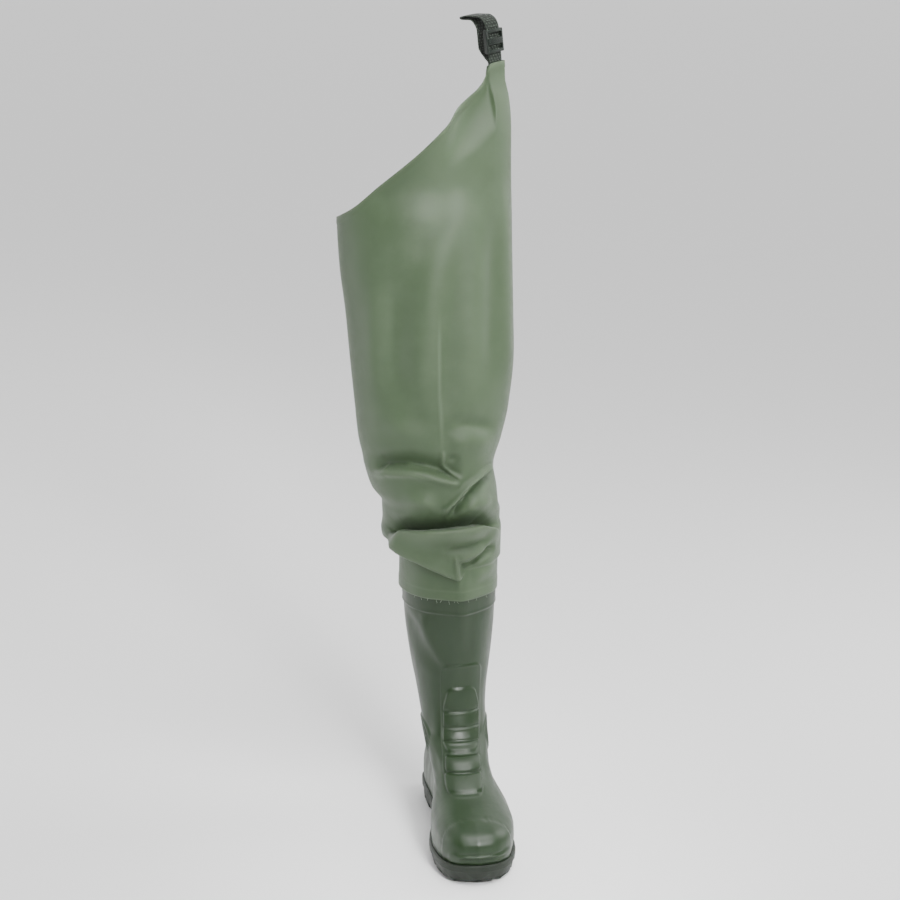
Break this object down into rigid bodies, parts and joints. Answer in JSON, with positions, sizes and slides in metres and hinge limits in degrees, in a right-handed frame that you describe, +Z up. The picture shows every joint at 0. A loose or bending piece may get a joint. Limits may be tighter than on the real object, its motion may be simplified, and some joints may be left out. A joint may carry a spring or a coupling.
{
  "type": "hip wader",
  "caption": "Left hip wader: moulded boot with a lugged sole, coated fabric leg with an oblique rim, tab, and a webbing belt loop with a buckle.",
  "frame": {"origin": "middle of the heel's ground face", "axes": "+Z up the leg, -Y towards the toe, +X towards the outer side of the left leg"},
  "size_m": [0.2281, 0.3126, 1.0646],
  "materials": {
    "sole_rubber": "matt moulded dark green PVC rubber",
    "boot_rubber": "half-gloss moulded dark green PVC rubber",
    "insole_felt": "plain grey felt",
    "leg_cloth": "sage green coated fabric with a soft satin sheen",
    "webbing": "dark green ribbed webbing",
    "buckle_plastic": "near black moulded plastic"
  },
  "bodies": {
    "root": {"outsole": "sole_rubber", "boot_upper": "boot_rubber", "insole": "insole_felt", "leg": "leg_cloth", "strap": "webbing", "buckle": "buckle_plastic"}
  },
  "joints": []
}
